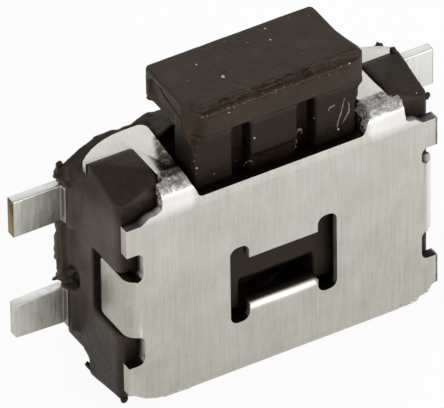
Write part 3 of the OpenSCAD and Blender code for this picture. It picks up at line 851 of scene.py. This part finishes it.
parting = [(-1.109, .062), (-.958, .168), (-.816, .181), (-.707, .214), (-.608, .204),
           (-.498, .212), (-.356, .2), (-.246, .183), (-.092, .189), (.007, .179), (.161, .185),
           (.293, .23), (.414, .181), (.524, .214), (.668, .202), (.834, .176), (1.033, .131),
           (1.12, .11)]
seam = [at(x, depth, 4.44) for x, depth in parting]
scar = [at(-1.27, 0.99, 4.36), at(-1.27, 0.85, 4.30), at(-1.27, 0.40, 4.20)]
lower = [at(x, 0.15, 4.30) for x in np.linspace(-1.08, 1.08, 12)]
shells = [thread(seam, 0.026, side=(0, 0, 1), seed=101, count=160, ragged=1.3, skin=plate_skin),
          thread(scar, 0.014, side=(1, 0, 0), seed=103, count=60, ragged=0.6),
          thread(lower, 0.012, side=(0, 0, 1), seed=104, count=120, ragged=0.8, skin=plate_skin)]
joined("button_ridges", shells, button_black, "button")
CRUMBS = 90
random = np.random.RandomState(7)
where = random.uniform(-1.1, 1.12, CRUMBS)
depth = np.interp(where, [x for x, depth in parting], [depth for x, depth in parting])
depth = depth + random.uniform(-0.11, 0.03, CRUMBS)
height = np.where(depth < 0.19, STRIP, TOP - 0.01)
sizes = 0.005 + 0.017 * random.uniform(0, 1, CRUMBS) ** 3
torn = list(zip(where, depth, height, sizes))
joined("button_torn_line", specks(torn, 200, plate_skin), crumb_dim, "button")

# Burrs of the housing: lumps and spurs left where the moulding was broken from its frame.

# Each row is the x, depth and height of a lump, its radii, its seed and how ragged it is.
lumps = [(2.30, 1.40, 3.33, (0.075, 0.06, 0.10), 110, 0.6),
         (2.24, 1.44, 3.30, (0.05, 0.05, 0.05), 111, 0.6),
         (2.27, 1.0, 3.56, (0.05, 0.05, 0.05), 112, 0.7),
         (2.33, 0.24, 3.28, (0.06, 0.04, 0.035), 113, 0.6),
         (-2.58, 1.44, 3.13, (0.045, 0.04, 0.035), 114, 0.6),
         (-2.53, 1.44, 3.30, (0.05, 0.04, 0.045), 115, 0.6),
         (-2.33, 1.09, 0.08, (0.04, 0.09, 0.04), 116, 0.9),
         (-2.30, 0.24, 0.11, (0.06, 0.05, 0.045), 118, 0.6)]
burrs = [lump(met(at(*row[:3]), housing_skin), *row[3:]) for row in lumps]
spur = [at(-2.30, 1.38, 1.52), at(-2.50, 1.40, 1.50), at(-2.70, 1.40, 1.48)]
burrs.append(thread(spur, 0.042, side=(0, 1, 0), seed=117, count=24, ragged=0.7))
joined("housing_burrs", burrs, housing_black, "body")

# Thin flash along the rear lip and beside its stub, and the pale worn edge of the left block.

LIP_DEPTH = 1.49
FLASH_RINGS = 60
fin = [(-2.51, 1.36), (-2.525, 1.52), (-2.545, 1.70), (-2.548, 1.95), (-2.54, 2.16),
       (-2.52, 2.34)]
along = np.linspace(0, len(fin) - 1, FLASH_RINGS)
path = at(np.interp(along, range(len(fin)), [x for x, height in fin]), LIP_DEPTH,
          np.interp(along, range(len(fin)), [height for x, height in fin]))
path = path + met(path.mean(axis=0), housing_skin) - path.mean(axis=0)
taper = np.sin(np.linspace(0, np.pi, FLASH_RINGS)) ** 0.4
shells = [strand(path, (1, 0, 0), wide=0.06 * taper, thick=0.012 * taper, around=12,
                 ragged=0.5, seed=120, size=0.07),
          lump(met(at(-2.555, 1.46, 3.22), housing_skin), (0.022, 0.02, 0.04), 121, 0.5),
          lump(met(at(-2.535, 1.47, 3.03), housing_skin), (0.03, 0.02, 0.025), 122, 0.6)]
joined("housing_flash", shells, flash, "body")
# Pale specks on the right block stand in for glints: painted highlights.
glints = [(2.191, 1.063, 3.47, 0.016), (1.815, 0.30, 3.44, 0.012), (2.21, 0.30, 3.33, 0.012)]
joined("housing_glints", specks(glints, 300, housing_skin), crumb_pale_and_glint, "body")
edge = [at(-2.31, 0.30, 3.156), at(-2.19, 0.30, 3.206), at(-1.965, 0.30, 3.23)]
shells = [thread(edge, 0.008, side=(0, 1, 0), seed=123, count=30, ragged=0.8)]
joined("housing_worn_edge", shells, crumb_dim, "body")

# Burrs of the steel along the lower edge of the plate, left by the shears.

left = [at(-2.20, 0.03, 0.25), at(-1.90, 0.03, 0.165), at(-1.60, 0.03, 0.105),
        at(-1.40, 0.03, 0.07)]
right = [at(1.80, 0.03, 0.07), at(2.08, 0.03, 0.165), at(2.26, 0.03, 0.255)]
shells = [thread(left, 0.014, side=(0, 1, 0), seed=130, count=60, ragged=1.6),
          thread(right, 0.014, side=(0, 1, 0), seed=131, count=50, ragged=1.6)]
joined("cover_burrs", shells, steel, "body")

# ---- floor, light and surroundings ----


FLOOR_HALF = 400.0
FLOOR_DROP = 0.02
LAMPS_AIM_AT = Vector((0, 0, 2))


def make_floor():
    """A pale floor: white to the camera and in mirrors, with the object's shadow left in faintly."""
    material, tree, shader = new_material("pale card", Roughness=0.8)
    shader.inputs["Base Color"].default_value = linear("#f4f3f1")
    path = add(tree, "ShaderNodeLightPath")
    seen = add(tree, MATH, {"operation": "MAXIMUM"},
               {0: path.outputs["Is Camera Ray"], 1: path.outputs["Is Glossy Ray"]})
    glow = add(tree, "ShaderNodeEmission", {"Color": linear("#ffffff"), "Strength": 1.0})
    share = add(tree, MATH, {"operation": "MULTIPLY_ADD", 1: 0.38},
                {0: path.outputs["Is Camera Ray"],
                 2: add(tree, MATH, {"operation": "MULTIPLY", 1: 0.55}, {0: seen})})
    both = add(tree, "ShaderNodeMixShader", {}, {0: share, 1: shader.outputs[0], 2: glow})
    tree.links.new(both.outputs[0], tree.nodes["Material Output"].inputs["Surface"])
    half = FLOOR_HALF * MM
    low = -FLOOR_DROP * MM
    mesh = bpy.data.meshes.new("floor")
    corners = [(-half, -half, low), (half, -half, low), (half, half, low), (-half, half, low)]
    mesh.from_pydata(corners, [], [(0, 1, 2, 3)])
    mesh.materials.append(material)
    floor = bpy.data.objects.new("floor", mesh)
    scene.collection.objects.link(floor)
    floor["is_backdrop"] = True


def make_world():
    """Soft studio surroundings: dim overhead, brighter low down, white to the camera."""
    world = bpy.data.worlds.new("studio")
    scene.world = world
    world.use_nodes = True
    tree = world.node_tree
    background = tree.nodes["Background"]
    place = add(tree, "ShaderNodeTexCoord").outputs["Generated"]
    axes = add(tree, "ShaderNodeSeparateXYZ", {}, {"Vector": place})
    up = add(tree, RANGE, {"From Min": 0.2, "From Max": 0.95, "To Min": 0.75, "To Max": 0.32},
             {"Value": axes.outputs["Z"]})
    path = add(tree, "ShaderNodeLightPath")
    strength = add(tree, MATH, {"operation": "MAXIMUM"},
                   {0: up, 1: path.outputs["Is Camera Ray"]})
    tree.links.new(strength.outputs[0], background.inputs["Strength"])
    background.inputs["Color"].default_value = linear("#ffffff")


def softbox(name, direction, distance, size, radiance):
    """A square lamp of that radiance, in millimetres, facing the middle of the switch."""
    data = bpy.data.lights.new(name, "AREA")
    data.shape = "SQUARE"
    data.size = size * MM
    data.energy = radiance * math.pi * (size * MM) ** 2
    lamp = bpy.data.objects.new(name, data)
    aim = Vector(direction).normalized()
    lamp.matrix_world = (Matrix.Translation((LAMPS_AIM_AT + aim * distance) * MM)
                         @ aim.to_track_quat("Z", "Y").to_matrix().to_4x4())
    scene.collection.objects.link(lamp)


make_floor()
make_world()
softbox("key_left", (-0.90, -0.10, 0.42), distance=60, size=44, radiance=1.7)
softbox("front_high", (0.39, -0.78, 0.46), distance=60, size=56, radiance=1.9)
softbox("top_back", (0.39, 0.68, 0.62), distance=60, size=42, radiance=0.5)

sizes = {"cad": [list(side) for side in cad_box], "visual": [list(side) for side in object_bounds()]}
